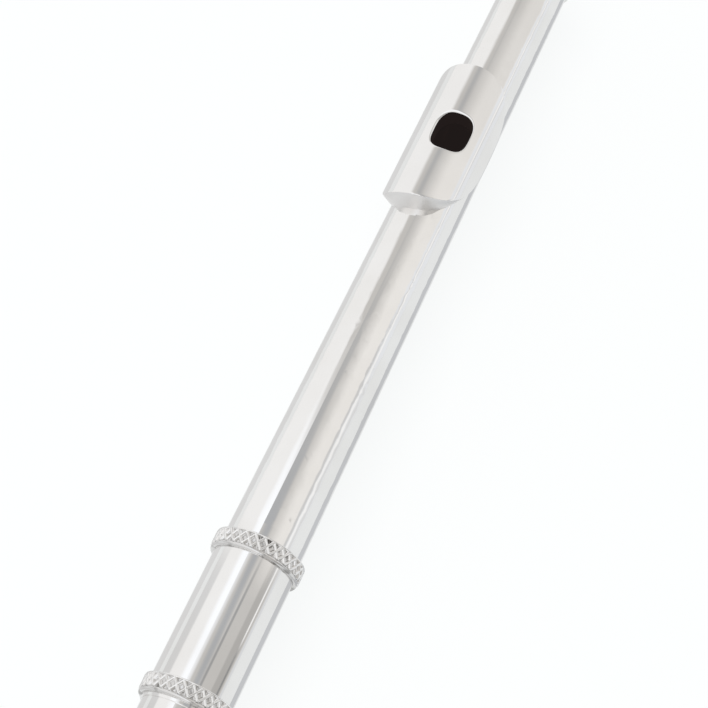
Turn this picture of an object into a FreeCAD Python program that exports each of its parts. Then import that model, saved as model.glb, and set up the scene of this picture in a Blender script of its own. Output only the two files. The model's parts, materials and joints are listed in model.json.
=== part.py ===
import FreeCAD
import Part
import math
import os

# Concert flute, Boehm system, closed cups, inline G, C foot. Millimetres.
# The origin is the centre of the bore at the foot's open end. +X runs along the bore to the crown,
# +Z is the side of the embouchure hole and the main cups, and +Y is the player's side.
# An angle around the tube is measured from +Z towards +Y.

# ---- tubes ----
BORE_R = 9.5
WALL = 0.45
SLIDE_GAP = 0.03            # radial, between a tenon and the socket it slides in
FOOT_LENGTH = 126.0
SOCKET_DEPTH = 12.0         # how deep the body tube stands in the foot
END_GAP = 0.8               # from the body tube's end to the shoulder in the socket
BODY_LENGTH = 321.8
BARREL_LENGTH = 44.6
BARREL_LAP = 4.7            # how far the barrel is soldered over the body tube
BARREL_WALL = 0.45          # beyond the body tube
RING_RISE = 1.35            # from the barrel up to a ring's edge
RING_WIDTH = 5.5
HEAD_TENON = 36.0           # how deep the headjoint stands in the barrel, drawn for tuning
HEAD_LENGTH = 226.5
TENON_STEP = 0.05           # the headjoint is this much thinner than the body tube
HEAD_WAIST_DROP = 0.8       # from the tenon to the control radius of the parabolic taper
WAIST_SHARE = 0.582         # where along the taper that control radius lies
TAPER_CLEAR = 3.5           # from the barrel up to where the taper starts
HEAD_END_DROP = 0.99        # from the tenon to the upper end
EMBOUCHURE_AT = 159.5       # from the headjoint's lower end

# ---- embouchure, stopper and crown ----
BLOW_LENGTH = 12.0
BLOW_WIDTH = 10.4
BLOW_CORNER = 4.4
RISER_WALL = 1.1
PLATE_LENGTH = 47.5
PLATE_WALL = 0.9
PLATE_RISE = 5.29           # from the headjoint's upper end's radius to the plate's top
PLATE_SECTION = [(-105.0, -4.0), (-78.0, -2.9), (-42.0, -1.0), (0.0, 0.0), (40.0, -0.25), (76.0, -1.7),
                 (106.0, -3.5)]     # angle, and how far under the top's distance from the axis
# The plate's outline is an oval, rounded off on each side as seen from its own angle: (angle seen from,
# where the rounding starts across that view, how far it reaches).
PLATE_FAR_SIDE = (-40.0, 12.1, -17.4)
PLATE_NEAR_SIDE = (80.0, -12.0, 16.7)
CORK_FROM_BLOW = 17.3
CORK_LENGTH = 14.0
CORK_GAP = 0.04
STOPPER_PLATE = 1.0
STOPPER_SCREW_R = 2.2
THREAD_GAP = 0.05
CROWN_LIP = 0.99            # beyond the headjoint's end
CROWN_LENGTH = 11.0
CROWN_SPIGOT = 4.0

# ---- tone holes ----
RIM_STAND = 2.05            # from the tube up to a tone hole's flat rim
CHIMNEY_WALL = 0.6
RIM_BEAD = 0.3
HOLE_R = {"d": 7.6, "e": 7.6, "f": 7.4, "fsharp": 7.4, "g_low": 7.2, "g_high": 7.2, "a": 7.0,
          "bflat": 7.0, "thumb": 6.8, "gsharp": 6.8, "csharp": 3.5, "d_trill": 3.9,
          "dsharp_trill": 3.9, "foot_dsharp": 7.8, "foot_csharp": 7.8, "foot_c": 7.8}
BODY_HOLE_AT = {"d": 23.2, "e": 49.5, "f": 77.0, "fsharp": 103.0, "g_low": 127.6, "gsharp": 138.2,
                "g_high": 150.7, "a": 172.6, "bflat": 193.2, "thumb": 212.7, "csharp": 238.2,
                "d_trill": 257.2, "dsharp_trill": 274.2}     # from the body tube's lower end
FOOT_HOLE_AT = {"foot_c": 36.8, "foot_csharp": 71.5, "foot_dsharp": 103.0}  # from the open end
THUMB_ANGLE = 150.0
GSHARP_ANGLE = 152.0
FOOT_ANGLE = 50.0           # C sharp and C towards the player, D sharp away

# ---- keys ----
PAD_GAP = 0.05              # between a closed pad and the rim
PAD_THICK = 2.2
CUP_MARGIN = 1.5            # cup radius beyond the hole's
CUP_HEIGHT = 3.2
CUP_WALL = 0.55
CUP_RISE = 0.55             # from the rim up to the cup's skirt
CUP_DOME = 0.6
KEY_LIFT = 2.6
STEEL_R = 1.0
HINGE_GAP = 0.05
HINGE_WALL = 0.75           # beyond the steel
POST_R = 1.0
POST_TAPER = 1.35           # a post's waist at its foot, over its waist at the ball
POST_FOOT = 0.7             # how thick a post's foot is
SADDLE_R = 2.8              # the foot of a post that stands on the bare tube
BALL_RISE = 0.65            # of a post's ball, beyond the hinge tube
RIB_THICK = 0.8
AXIAL_GAP = 0.15            # between neighbouring hinge tubes
ARM_THICK = 1.2
ARM_ROOT = 3.8
ARM_TIP = 1.0
TOUCH_THICK = 1.3
SPRING_R = 0.3
SPRING_CLEAR = 0.35
SPRING_LENGTH = 13.0

# ---- stations that follow from those sizes ----
TUBE_R = BORE_R + WALL
BARREL_R = TUBE_R + BARREL_WALL
RING_R = BARREL_R + RING_RISE
HEAD_TENON_R = TUBE_R - TENON_STEP
HEAD_WAIST_R = HEAD_TENON_R - HEAD_WAIST_DROP
HEAD_END_R = HEAD_TENON_R - HEAD_END_DROP
CROWN_R = HEAD_END_R + CROWN_LIP
PLATE_TOP_R = HEAD_END_R + PLATE_RISE
RIM_HEIGHT = TUBE_R + RIM_STAND
HINGE_R = STEEL_R + HINGE_WALL
BALL_R = HINGE_R + BALL_RISE
MAIN_STEEL = (67.0, RIM_HEIGHT + 3.6)       # angle, and distance from the tube's axis
TRILL_STEEL = (95.0, RIM_HEIGHT + 3.9)
GSHARP_STEEL = (79.4, MAIN_STEEL[1] + 2 * HINGE_R + 0.5)
THUMB_STEEL = (217.0, RIM_HEIGHT + 3.6)
FOOT_STEEL = (0.0, RIM_HEIGHT + 3.4)
BODY_X0 = FOOT_LENGTH - SOCKET_DEPTH + END_GAP
BODY_X1 = BODY_X0 + BODY_LENGTH
BARREL_X0 = BODY_X1 - BARREL_LAP
BARREL_X1 = BARREL_X0 + BARREL_LENGTH
HEAD_X0 = BARREL_X1 - HEAD_TENON
HEAD_X1 = HEAD_X0 + HEAD_LENGTH
BLOW_X = HEAD_X0 + EMBOUCHURE_AT
TAPER_X0 = BARREL_X1 + TAPER_CLEAR
WAIST_X = TAPER_X0 + (HEAD_X1 - TAPER_X0) * WAIST_SHARE
HOLE_X = {name: BODY_X0 + at for name, at in BODY_HOLE_AT.items()}
HOLE_X.update(FOOT_HOLE_AT)
HOLE_ANGLE = {name: 0.0 for name in HOLE_X}
HOLE_ANGLE.update({"thumb": THUMB_ANGLE, "gsharp": GSHARP_ANGLE, "foot_dsharp": -FOOT_ANGLE,
                   "foot_csharp": FOOT_ANGLE, "foot_c": FOOT_ANGLE})
SPRING_OFFSET = HINGE_R + SPRING_CLEAR + SPRING_R
CUP_TOP = RIM_HEIGHT + CUP_RISE + CUP_HEIGHT

V = FreeCAD.Vector
ALONG = V(1, 0, 0)
ORIGIN = V(0, 0, 0)
nodes = {}


# ---- small shapes ----
def around(angle, distance):
    """The (y, z) of a point at an angle from +Z towards +Y, at a distance from the tube's axis."""
    turn = math.radians(angle)
    return distance * math.sin(turn), distance * math.cos(turn)


def bar(radius, x0, x1, at=(0.0, 0.0)):
    return Part.makeCylinder(radius, x1 - x0, V(x0, at[0], at[1]), ALONG)


def sleeve(outer, inner, x0, x1, at=(0.0, 0.0)):
    return bar(outer, x0, x1, at).cut(bar(inner, x0 - 1, x1 + 1, at))


def turned(edges_or_points):
    """Turn a closed outline of (x, radius) about the tube's axis."""
    points = [V(x, 0, r) for x, r in edges_or_points]
    face = Part.Face(Part.makePolygon(points + points[:1]))
    return face.revolve(ORIGIN, ALONG, 360)


def turn(shape, angle, at=(0.0, 0.0)):
    """Turn a shape about a line along X, so that +Z goes towards +Y."""
    copy = shape.copy()
    copy.rotate(V(0, at[0], at[1]), ALONG, -angle)
    return copy


def join(shapes):
    whole = shapes[0].multiFuse(shapes[1:]) if len(shapes) > 1 else shapes[0]
    return whole.removeSplitter()


def group(shapes):
    return Part.makeCompound(shapes)


def disc(radius, z0, z1, x, y=0.0):
    return Part.makeCylinder(radius, z1 - z0, V(x, y, z0), V(0, 0, 1))


def strap(path, thick, x0, x1):
    """A flat bar of even thickness that follows a path of (y, z) points, as wide as x0 to x1."""
    left, right = [], []
    for i, (y, z) in enumerate(path):
        before = path[max(i - 1, 0)]
        after = path[min(i + 1, len(path) - 1)]
        d1 = V(0, y - before[0], z - before[1]) if i else V(0, after[0] - y, after[1] - z)
        d2 = V(0, after[0] - y, after[1] - z) if i < len(path) - 1 else d1
        d1 = d1.normalize()
        d2 = V(d2).normalize()
        mid = (d1 + d2).normalize()
        side = V(0, -mid.z, mid.y) * (thick / 2 / max(mid.dot(d1), 0.5))
        left.append(V(x0, y, z) + side)
        right.append(V(x0, y, z) - side)
    points = left + right[::-1]
    face = Part.Face(Part.makePolygon(points + points[:1]))
    return face.extrude(V(x1 - x0, 0, 0))


def rounded_prism(length, width, corner, x, y, z0, z1):
    """An upright prism on a rectangle with round corners, centred at x, y."""
    box = Part.makeBox(length, width, z1 - z0, V(x - length / 2, y - width / 2, z0))
    upright = [e for e in box.Edges if abs(e.tangentAt(e.FirstParameter).z) > 0.99]
    return box.makeFillet(corner, upright)


def pointed_plan(x, root_y, root, tip):
    """The outline that an arm narrows in, seen along the cup's axis: wide at the hinge, narrow at the cup."""
    side = 1.0 if root_y > 0 else -1.0
    beyond = root_y + side * HINGE_R * 2
    points = [V(x - root / 2, beyond, -30), V(x + root / 2, beyond, -30), V(x + root / 2, root_y, -30),
              V(x + tip / 2, 0, -30), V(x - tip / 2, 0, -30), V(x - root / 2, root_y, -30)]
    return Part.Face(Part.makePolygon(points + points[:1])).extrude(V(0, 0, 60))


# ---- keywork pieces ----
def cup_radius(name):
    return HOLE_R[name] + CUP_MARGIN


def cup(name):
    """A key cup over its tone hole, closed, with its hole's direction upwards."""
    x, radius = HOLE_X[name], cup_radius(name)
    skirt = RIM_HEIGHT + CUP_RISE
    shell = disc(radius, skirt, CUP_TOP, x)
    rim = [e for e in shell.Edges if len(e.Vertexes) == 1 and e.CenterOfMass.z > CUP_TOP - 0.1]
    shell = shell.makeFillet(0.5, rim)
    dome = disc(radius * 0.62, CUP_TOP - 0.2, CUP_TOP + CUP_DOME, x)
    rim = [e for e in dome.Edges if len(e.Vertexes) == 1 and e.CenterOfMass.z > CUP_TOP]
    dome = dome.makeFillet(CUP_DOME * 0.8, rim)
    pocket = disc(radius - CUP_WALL, skirt - 1, pad_top(), x)
    return shell.fuse(dome).cut(pocket)


def pad_top():
    return RIM_HEIGHT + PAD_GAP + PAD_THICK


def pad(name):
    x, radius = HOLE_X[name], cup_radius(name) - CUP_WALL - 0.05
    soft = disc(radius, RIM_HEIGHT + PAD_GAP, pad_top(), x)
    low = [e for e in soft.Edges if len(e.Vertexes) == 1 and e.CenterOfMass.z < pad_top() - 0.1]
    return soft.makeFillet(0.4, low)


def steel_from_cup(name, steel):
    """Where a steel lies, seen with the hole's direction upwards."""
    return around(steel[0] - HOLE_ANGLE[name], steel[1])


def opening_angle(name, steel):
    """The turn that lifts a cup's middle off its rim by the key's lift, in degrees."""
    y, z = steel_from_cup(name, steel)
    reach = math.hypot(y, RIM_HEIGHT - z)
    return math.degrees(KEY_LIFT / reach)


def arm(name, steel, root=ARM_ROOT):
    """The pointed arm from the hinge over the edge of its cup to the cup's middle."""
    x = HOLE_X[name]
    y, z = steel_from_cup(name, steel)
    side = 1.0 if y > 0 else -1.0
    edge = side * (cup_radius(name) + 0.5)
    shoulder = side * max(abs(y) - 1.0, abs(edge) + 0.3)
    over = CUP_TOP + ARM_THICK * 0.35
    path = [(y, z), (shoulder, RIM_HEIGHT + 0.4), (edge, over), (0.0, over + CUP_DOME * 0.6)]
    bar_form = strap(path, ARM_THICK, x - root / 2, x + root / 2)
    return bar_form.common(pointed_plan(x, y, root, ARM_TIP))


def placed(name, shape):
    return turn(shape, HOLE_ANGLE[name])


def cup_and_arm(name, steel):
    return [placed(name, cup(name)), placed(name, arm(name, steel))]


def hinge_tube(x0, x1, steel):
    return bar(HINGE_R, x0, x1, around(*steel))


def key(pieces, steel, bore=STEEL_R + HINGE_GAP):
    """Join a key's pieces and clear the bore that it turns on."""
    whole = join(pieces)
    return whole.cut(bar(bore, -10, HEAD_X1, around(*steel))) if bore else whole


def opened(shape, name, steel, side):
    """Stand a key open at rest. Side is 1 where opening turns +Z towards the player."""
    return turn(shape, side * opening_angle(name, steel), around(*steel))


def post(x, steel, foot_r, bore=STEEL_R, ball=BALL_R, base=2.2):
    """A turned post: a round foot, a waist and a ball that is drilled for the steel."""
    angle, reach = steel
    at = around(angle, reach)
    cone = Part.makeCone(POST_R * POST_TAPER, POST_R, reach - foot_r, V(x, 0, foot_r), V(0, 0, 1))
    waist = turn(cone, angle)
    foot = turn(disc(base, foot_r, foot_r + POST_FOOT, x), angle)
    head = Part.makeSphere(ball, V(x, at[0], at[1]))
    return waist.multiFuse([foot, head]).cut(bar(bore, x - 5, x + 5, at))


def saddle_post(x, steel, tube_r, bore=STEEL_R):
    """A post that stands straight on the tube, with a foot hollowed to the tube."""
    angle, reach = steel
    at = around(angle, reach)
    cone = Part.makeCone(POST_R * POST_TAPER, POST_R, reach - tube_r + 1, V(x, 0, tube_r - 1), V(0, 0, 1))
    waist = turn(cone, angle)
    foot = turn(disc(SADDLE_R, tube_r - 1, tube_r + POST_FOOT, x), angle)
    head = Part.makeSphere(BALL_R, V(x, at[0], at[1]))
    return waist.multiFuse([foot, head]).cut(bar(bore, x - 5, x + 5, at)).cut(bar(tube_r, x - 5, x + 5))


def rib(a0, a1, x0, x1):
    """A strip soldered along the tube between two angles."""
    ring = sleeve(TUBE_R + RIB_THICK, TUBE_R, x0, x1)
    corners = [(0.0, 0.0), around(a0, 20), around((a0 + a1) / 2, 26), around(a1, 20)]
    points = [V(x0, y, z) for y, z in corners]
    sector = Part.Face(Part.makePolygon(points + points[:1])).extrude(V(x1 - x0, 0, 0))
    return ring.common(sector)


def rod_screw(x0, x1, steel):
    """A steel with a slotted head at its upper end."""
    at = around(*steel)
    rod = bar(STEEL_R, x0, x1, at)
    slot = Part.makeBox(0.8, 4, 0.4, V(x1 - 0.5, at[0] - 2, at[1] - 0.2))
    return rod.cut(slot)


def needle_spring(post_x, steel, towards):
    """A wire that stands in a post and lies along a hinge tube, on the side next to the flute's tube."""
    angle, reach = steel
    y, z = around(angle, reach)
    dy, dz = around(angle + 180, SPRING_OFFSET)
    start = post_x - towards * POST_R * 1.5
    end = post_x + towards * SPRING_LENGTH
    return bar(SPRING_R, min(start, end), max(start, end), (y + dy, z + dz))


# ---- headjoint ----
def head_outline(offset):
    """The headjoint's outer line moved in by an offset: a straight tenon, then a parabolic taper."""
    straight = Part.makeLine(V(HEAD_X0, 0, HEAD_TENON_R - offset), V(TAPER_X0, 0, HEAD_TENON_R - offset))
    taper = Part.BezierCurve()
    taper.setPoles([V(TAPER_X0, 0, HEAD_TENON_R - offset), V(WAIST_X, 0, HEAD_WAIST_R - offset),
                    V(HEAD_X1, 0, HEAD_END_R - offset)])
    return [straight, taper.toShape()]


def head_solid(offset):
    first = Part.makeLine(V(HEAD_X0, 0, 0), V(HEAD_X0, 0, HEAD_TENON_R - offset))
    last = Part.makeLine(V(HEAD_X1, 0, HEAD_END_R - offset), V(HEAD_X1, 0, 0))
    base = Part.makeLine(V(HEAD_X1, 0, 0), V(HEAD_X0, 0, 0))
    outline = Part.Wire([first] + head_outline(offset) + [last, base])
    return Part.Face(outline).revolve(ORIGIN, ALONG, 360)


def head_radius(x):
    """The headjoint's outer radius at a station on its taper, where x and r are quadratics of a share t."""
    bend = TAPER_X0 - 2 * WAIST_X + HEAD_X1
    start = WAIST_X - TAPER_X0
    t = (x - TAPER_X0) / (start + math.sqrt(start * start + bend * (x - TAPER_X0)))
    return HEAD_TENON_R * (1 - t) ** 2 + 2 * HEAD_WAIST_R * t * (1 - t) + HEAD_END_R * t * t


def plate_section(inset):
    """The lip plate's bent section, as points from the far edge over the top to the player's edge."""
    return [V(BLOW_X, *around(angle, PLATE_TOP_R + drop - inset)) for angle, drop in PLATE_SECTION]


def plate_block(inset):
    """The space under the lip plate's outer surface, moved in by an inset."""
    curve = Part.BSplineCurve()
    points = plate_section(inset)
    curve.interpolate(points)
    outline = Part.Wire([curve.toShape(), Part.makePolygon([points[-1], V(BLOW_X, 0, 0), points[0]])])
    block = Part.Face(outline).extrude(V(PLATE_LENGTH, 0, 0))
    block.translate(V(-PLATE_LENGTH / 2, 0, 0))
    return block


def plate_waste(side, inset):
    """What is trimmed off one side of the plate: all outside half an ellipse, as seen from an angle."""
    angle, start, reach = side
    long_half = PLATE_LENGTH / 2 - inset
    short_half = abs(reach) - inset
    oval = Part.Ellipse(V(BLOW_X, start, 0), long_half, short_half)
    keep = Part.Face(Part.Wire(oval.toShape())).extrude(V(0, 0, 2 * PLATE_TOP_R))
    low = start if reach > 0 else start - PLATE_LENGTH
    block = Part.makeBox(2 * PLATE_LENGTH, PLATE_LENGTH, 2 * PLATE_TOP_R, V(BLOW_X - PLATE_LENGTH, low, 0))
    return turn(block.cut(keep), angle)


def plate_form(inset):
    """The filled form of the lip plate, moved in by an inset from its top and from its outline."""
    ends = Part.makeBox(PLATE_LENGTH - 2 * inset, 60, 60, V(BLOW_X - PLATE_LENGTH / 2 + inset, -30, -30))
    form = plate_block(inset).common(ends)
    return form.cut(plate_waste(PLATE_FAR_SIDE, inset)).cut(plate_waste(PLATE_NEAR_SIDE, inset))


def make_headjoint():
    tube_skin = head_solid(0.0)
    bore = head_solid(WALL)
    blow = rounded_prism(BLOW_LENGTH, BLOW_WIDTH, BLOW_CORNER, BLOW_X, 0, 0, 30)
    nodes["headjoint_tube"] = tube_skin.cut(bore).cut(blow)
    nodes["lip_plate"] = plate_form(0.0).cut(plate_form(PLATE_WALL)).cut(tube_skin).cut(blow)
    wall = rounded_prism(BLOW_LENGTH + 2 * RISER_WALL, BLOW_WIDTH + 2 * RISER_WALL,
                         BLOW_CORNER + RISER_WALL, BLOW_X, 0, 5, 30)
    nodes["embouchure_riser"] = wall.cut(blow).common(plate_block(PLATE_WALL)).cut(tube_skin)


def make_stopper_and_crown():
    face_x = BLOW_X + CORK_FROM_BLOW
    cork_x0 = face_x + STOPPER_PLATE
    cork_x1 = cork_x0 + CORK_LENGTH
    back_x1 = cork_x1 + STOPPER_PLATE
    radius = head_radius(back_x1 + 4) - WALL - CORK_GAP
    screw_end = HEAD_X1 + 4.0
    nodes["stopper_front_plate"] = bar(radius - 0.15, face_x, cork_x0)
    nodes["stopper_cork"] = bar(radius, cork_x0, cork_x1).cut(bar(STOPPER_SCREW_R, cork_x0, cork_x1))
    nodes["stopper_screw"] = bar(STOPPER_SCREW_R, cork_x0, screw_end)
    nut = bar(radius - 0.5, cork_x1, back_x1)
    nodes["stopper_nut"] = nut.cut(bar(STOPPER_SCREW_R, cork_x1 - 1, back_x1 + 1))
    spigot_r = HEAD_END_R - WALL - SLIDE_GAP
    spigot_x0 = HEAD_X1 - CROWN_SPIGOT
    cap = turned([(HEAD_X1, 0), (HEAD_X1, CROWN_R - 0.5), (HEAD_X1 + 0.5, CROWN_R), (HEAD_X1 + 2.0, CROWN_R),
                  (HEAD_X1 + 2.6, CROWN_R - 0.6), (HEAD_X1 + 3.2, CROWN_R - 0.6), (HEAD_X1 + 4.0, CROWN_R),
                  (HEAD_X1 + 8.0, CROWN_R - 0.6), (HEAD_X1 + 9.9, CROWN_R - 2.4),
                  (HEAD_X1 + CROWN_LENGTH - 0.3, CROWN_R - 5.2), (HEAD_X1 + CROWN_LENGTH, CROWN_R - 7.5),
                  (HEAD_X1 + CROWN_LENGTH, 0)])
    hollow = bar(STOPPER_SCREW_R + THREAD_GAP, spigot_x0 - 1, screw_end + 4.0)
    nodes["crown"] = cap.fuse(bar(spigot_r, spigot_x0, HEAD_X1 + 0.2)).cut(hollow).removeSplitter()


# ---- body ----
def with_tone_holes(skin, bore, names):
    """A tube with drawn tone holes: a chimney with a rolled rim around each hole."""
    chimneys, holes = [], []
    for name in names:
        x, hole_r = HOLE_X[name], HOLE_R[name]
        wall = disc(hole_r + CHIMNEY_WALL, 0, RIM_HEIGHT, x)
        bead = disc(hole_r + CHIMNEY_WALL + RIM_BEAD, RIM_HEIGHT - 2 * RIM_BEAD, RIM_HEIGHT, x)
        round_edges = [e for e in bead.Edges if len(e.Vertexes) == 1]
        bead = bead.makeFillet(RIM_BEAD * 0.8, round_edges)
        chimneys.append(placed(name, wall.fuse(bead)))
        holes.append(placed(name, disc(hole_r, 0, RIM_HEIGHT + 5, x)))
    return skin.multiFuse(chimneys).cut(bore).cut(holes)


def make_body_tube():
    names = list(BODY_HOLE_AT)
    skin = bar(TUBE_R, BODY_X0, BODY_X1)
    nodes["body_tube"] = with_tone_holes(skin, bar(BORE_R, BODY_X0 - 1, BODY_X1 + 1), names)
    inner_r = HEAD_TENON_R + SLIDE_GAP
    nodes["barrel"] = turned([(BARREL_X0, TUBE_R), (BODY_X1, TUBE_R), (BODY_X1, inner_r),
                              (BARREL_X1, inner_r), (BARREL_X1, BARREL_R), (BARREL_X0, BARREL_R)])
    rings = {"barrel_ring_lower": BARREL_X0, "barrel_ring_upper": BARREL_X1 - RING_WIDTH}
    for name, x0 in rings.items():
        nodes[name] = barrel_ring(x0)


def barrel_ring(x0):
    """A ring with a beaded edge on each side of a shallow band, which holds the ornament."""
    x1 = x0 + RING_WIDTH
    band = RING_R - 0.35
    return turned([(x0, BARREL_R), (x0, RING_R - 0.4), (x0 + 0.3, RING_R), (x0 + 0.8, RING_R),
                   (x0 + 1.0, band), (x1 - 1.0, band), (x1 - 0.8, RING_R), (x1 - 0.3, RING_R),
                   (x1, RING_R - 0.4), (x1, BARREL_R)])


def between(a, b):
    return (HOLE_X[a] + HOLE_X[b]) / 2


MAIN_POSTS = {"low": BODY_X0 + 14.2, "split": between("fsharp", "g_low"),
              "middle": between("a", "bflat") + 0.3, "high": HOLE_X["csharp"] + 9.0}
TRILL_POSTS = {"low": between("e", "f") - 8.0, "middle": MAIN_POSTS["middle"],
               "high": HOLE_X["dsharp_trill"] + 7.5}
GSHARP_POSTS = {"low": HOLE_X["gsharp"] - 19.3, "high": HOLE_X["gsharp"] + 9.5}
THUMB_POSTS = {"low": HOLE_X["thumb"] - 25.5, "high": HOLE_X["thumb"] + 12.5}
BALL_EDGE = BALL_R + AXIAL_GAP
RIB_R = TUBE_R + RIB_THICK


def make_body_mounts():
    nodes["main_rib"] = rib(60.0, 84.0, MAIN_POSTS["low"] - 2.4, MAIN_POSTS["high"] + 3.0)
    nodes["side_rib"] = rib(90.0, 100.5, TRILL_POSTS["low"] - 3.0, TRILL_POSTS["high"] + 3.0)
    places = [("low", MAIN_POSTS, MAIN_STEEL, 1), ("split", MAIN_POSTS, MAIN_STEEL, -1),
              ("split", MAIN_POSTS, MAIN_STEEL, 1), ("middle", MAIN_POSTS, MAIN_STEEL, -1),
              ("middle", MAIN_POSTS, MAIN_STEEL, 1), ("high", MAIN_POSTS, MAIN_STEEL, -1),
              ("low", TRILL_POSTS, TRILL_STEEL, 1), ("high", TRILL_POSTS, TRILL_STEEL, -1),
              ("high", GSHARP_POSTS, GSHARP_STEEL, -1), ("low", THUMB_POSTS, THUMB_STEEL, 1),
              ("high", THUMB_POSTS, THUMB_STEEL, -1)]
    springs = [needle_spring(posts[end], steel, towards) for end, posts, steel, towards in places]
    nodes["body_springs"] = group(springs)
    main = [post(x, MAIN_STEEL, RIB_R - 0.15) for x in MAIN_POSTS.values()]
    trill = [post(TRILL_POSTS["low"], TRILL_STEEL, RIB_R - 0.15, STEEL_R + HINGE_GAP),
             post(TRILL_POSTS["middle"], TRILL_STEEL, RIB_R - 0.15, HINGE_R + HINGE_GAP, BALL_R + 0.3),
             post(TRILL_POSTS["high"], TRILL_STEEL, RIB_R - 0.15, STEEL_R + HINGE_GAP)]
    gsharp = [post(x, GSHARP_STEEL, RIB_R - 0.15, base=1.4) for x in GSHARP_POSTS.values()]
    thumb = [saddle_post(x, THUMB_STEEL, TUBE_R) for x in THUMB_POSTS.values()]
    strips = group([nodes["main_rib"], nodes["side_rib"]])
    for name, posts in (("main_posts", main), ("trill_posts", trill), ("gsharp_posts", gsharp),
                        ("thumb_posts", thumb)):
        nodes[name] = group([p.cut(strips).cut(springs) for p in posts])
    nodes["lower_steel"] = rod_screw(MAIN_POSTS["low"] - BALL_R, MAIN_POSTS["split"] - 0.1, MAIN_STEEL)
    nodes["upper_steel"] = rod_screw(MAIN_POSTS["split"] + 0.1, MAIN_POSTS["high"] + BALL_R, MAIN_STEEL)
    for name, posts, steel in (("gsharp_steel", GSHARP_POSTS, GSHARP_STEEL),
                               ("thumb_steel", THUMB_POSTS, THUMB_STEEL)):
        nodes[name] = rod_screw(posts["low"] - BALL_R, posts["high"] + BALL_R, steel)


# ---- body keys ----
def make_main_keys():
    """The keys on the two main steels, each standing open by its own angle."""
    d_end = between("d", "e")
    e_end = between("e", "f")
    f_end = between("f", "fsharp")
    g_end = between("g_high", "a")
    b_end = HOLE_X["bflat"] + 11.0
    spans = {"d": (MAIN_POSTS["low"] + BALL_EDGE, d_end), "e": (d_end + AXIAL_GAP, e_end),
             "f": (e_end + AXIAL_GAP, f_end),
             "fsharp": (f_end + AXIAL_GAP, MAIN_POSTS["split"] - BALL_EDGE),
             "g": (MAIN_POSTS["split"] + BALL_EDGE, g_end),
             "a": (g_end + AXIAL_GAP, MAIN_POSTS["middle"] - BALL_EDGE),
             "bflat": (MAIN_POSTS["middle"] + BALL_EDGE, b_end),
             "csharp": (b_end + AXIAL_GAP, MAIN_POSTS["high"] - BALL_EDGE)}
    cups = {name: [name] for name in spans}
    cups["g"] = ["g_low", "g_high"]
    for name, (x0, x1) in spans.items():
        pieces = [hinge_tube(x0, x1, MAIN_STEEL)]
        for hole in cups[name]:
            pieces += cup_and_arm(hole, MAIN_STEEL)
        if name == "csharp":
            pieces += finger_plate(HOLE_X["csharp"] - 22.0)
        lead = cups[name][0]
        nodes[name + "_key"] = opened(key(pieces, MAIN_STEEL), lead, MAIN_STEEL, 1)
        pads = group([pad(hole) for hole in cups[name]]) if len(cups[name]) > 1 else pad(lead)
        nodes[name + "_pad"] = opened(pads, lead, MAIN_STEEL, 1)


def finger_plate(x):
    """The round plate for the left forefinger, with its own arm, which closes the small C sharp cup."""
    y, z = around(*MAIN_STEEL)
    top = CUP_TOP - 0.6
    plate = disc(6.6, top - TOUCH_THICK, top, x)
    plate = plate.makeFillet(0.4, [e for e in plate.Edges if len(e.Vertexes) == 1])
    reach = strap([(y, z), (y - 1.2, RIM_HEIGHT), (6.0, top - TOUCH_THICK / 2), (2.0, top - TOUCH_THICK / 2)],
                  ARM_THICK, x - ARM_ROOT / 2, x + ARM_ROOT / 2)
    return [plate, reach]


def touch_blade(x0, x1, y0, y1, z, corner=2.2):
    """A flat finger blade with round corners and soft edges."""
    blade = rounded_prism(x1 - x0, y1 - y0, corner, (x0 + x1) / 2, (y0 + y1) / 2, z - TOUCH_THICK, z)
    top = [e for e in blade.Edges if abs(e.CenterOfMass.z - z) < 0.01]
    return blade.makeFillet(0.35, top)


def make_trill_keys():
    """Two long keys that stand closed: D turns on the solid rod of D sharp."""
    y, z = around(*TRILL_STEEL)
    touch = (y + 6.8, z + 6.4)
    d_touch_x, ds_touch_x = between("f", "fsharp"), between("e", "f")
    d_span = (d_touch_x - 6.5, HOLE_X["d_trill"] + 5.0)
    reach = [(y, z), (y + 3.8, z + 1.6), (touch[0] - 0.8, touch[1] - TOUCH_THICK / 2)]

    def blade(x):
        plate = touch_blade(x - 5.5, x + 5.5, touch[0] - 3.2, touch[0] + 3.2, touch[1])
        return [plate, strap(reach, ARM_THICK, x - 1.9, x + 1.9)]

    d_pieces = [hinge_tube(*d_span, TRILL_STEEL)] + cup_and_arm("d_trill", TRILL_STEEL) + blade(d_touch_x)
    nodes["d_trill_key"] = key(d_pieces, TRILL_STEEL)
    low = hinge_tube(TRILL_POSTS["low"] + BALL_EDGE, d_span[0] - AXIAL_GAP, TRILL_STEEL)
    high = hinge_tube(d_span[1] + AXIAL_GAP, TRILL_POSTS["high"] - BALL_EDGE, TRILL_STEEL)
    rod = bar(STEEL_R, TRILL_POSTS["low"] - BALL_R, TRILL_POSTS["high"] + BALL_R, (y, z))
    ds_pieces = [rod, low, high] + cup_and_arm("dsharp_trill", TRILL_STEEL) + blade(ds_touch_x)
    nodes["dsharp_trill_key"] = key(ds_pieces, TRILL_STEEL, None)
    for name in ("d_trill", "dsharp_trill"):
        nodes[name + "_pad"] = pad(name)


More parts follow.
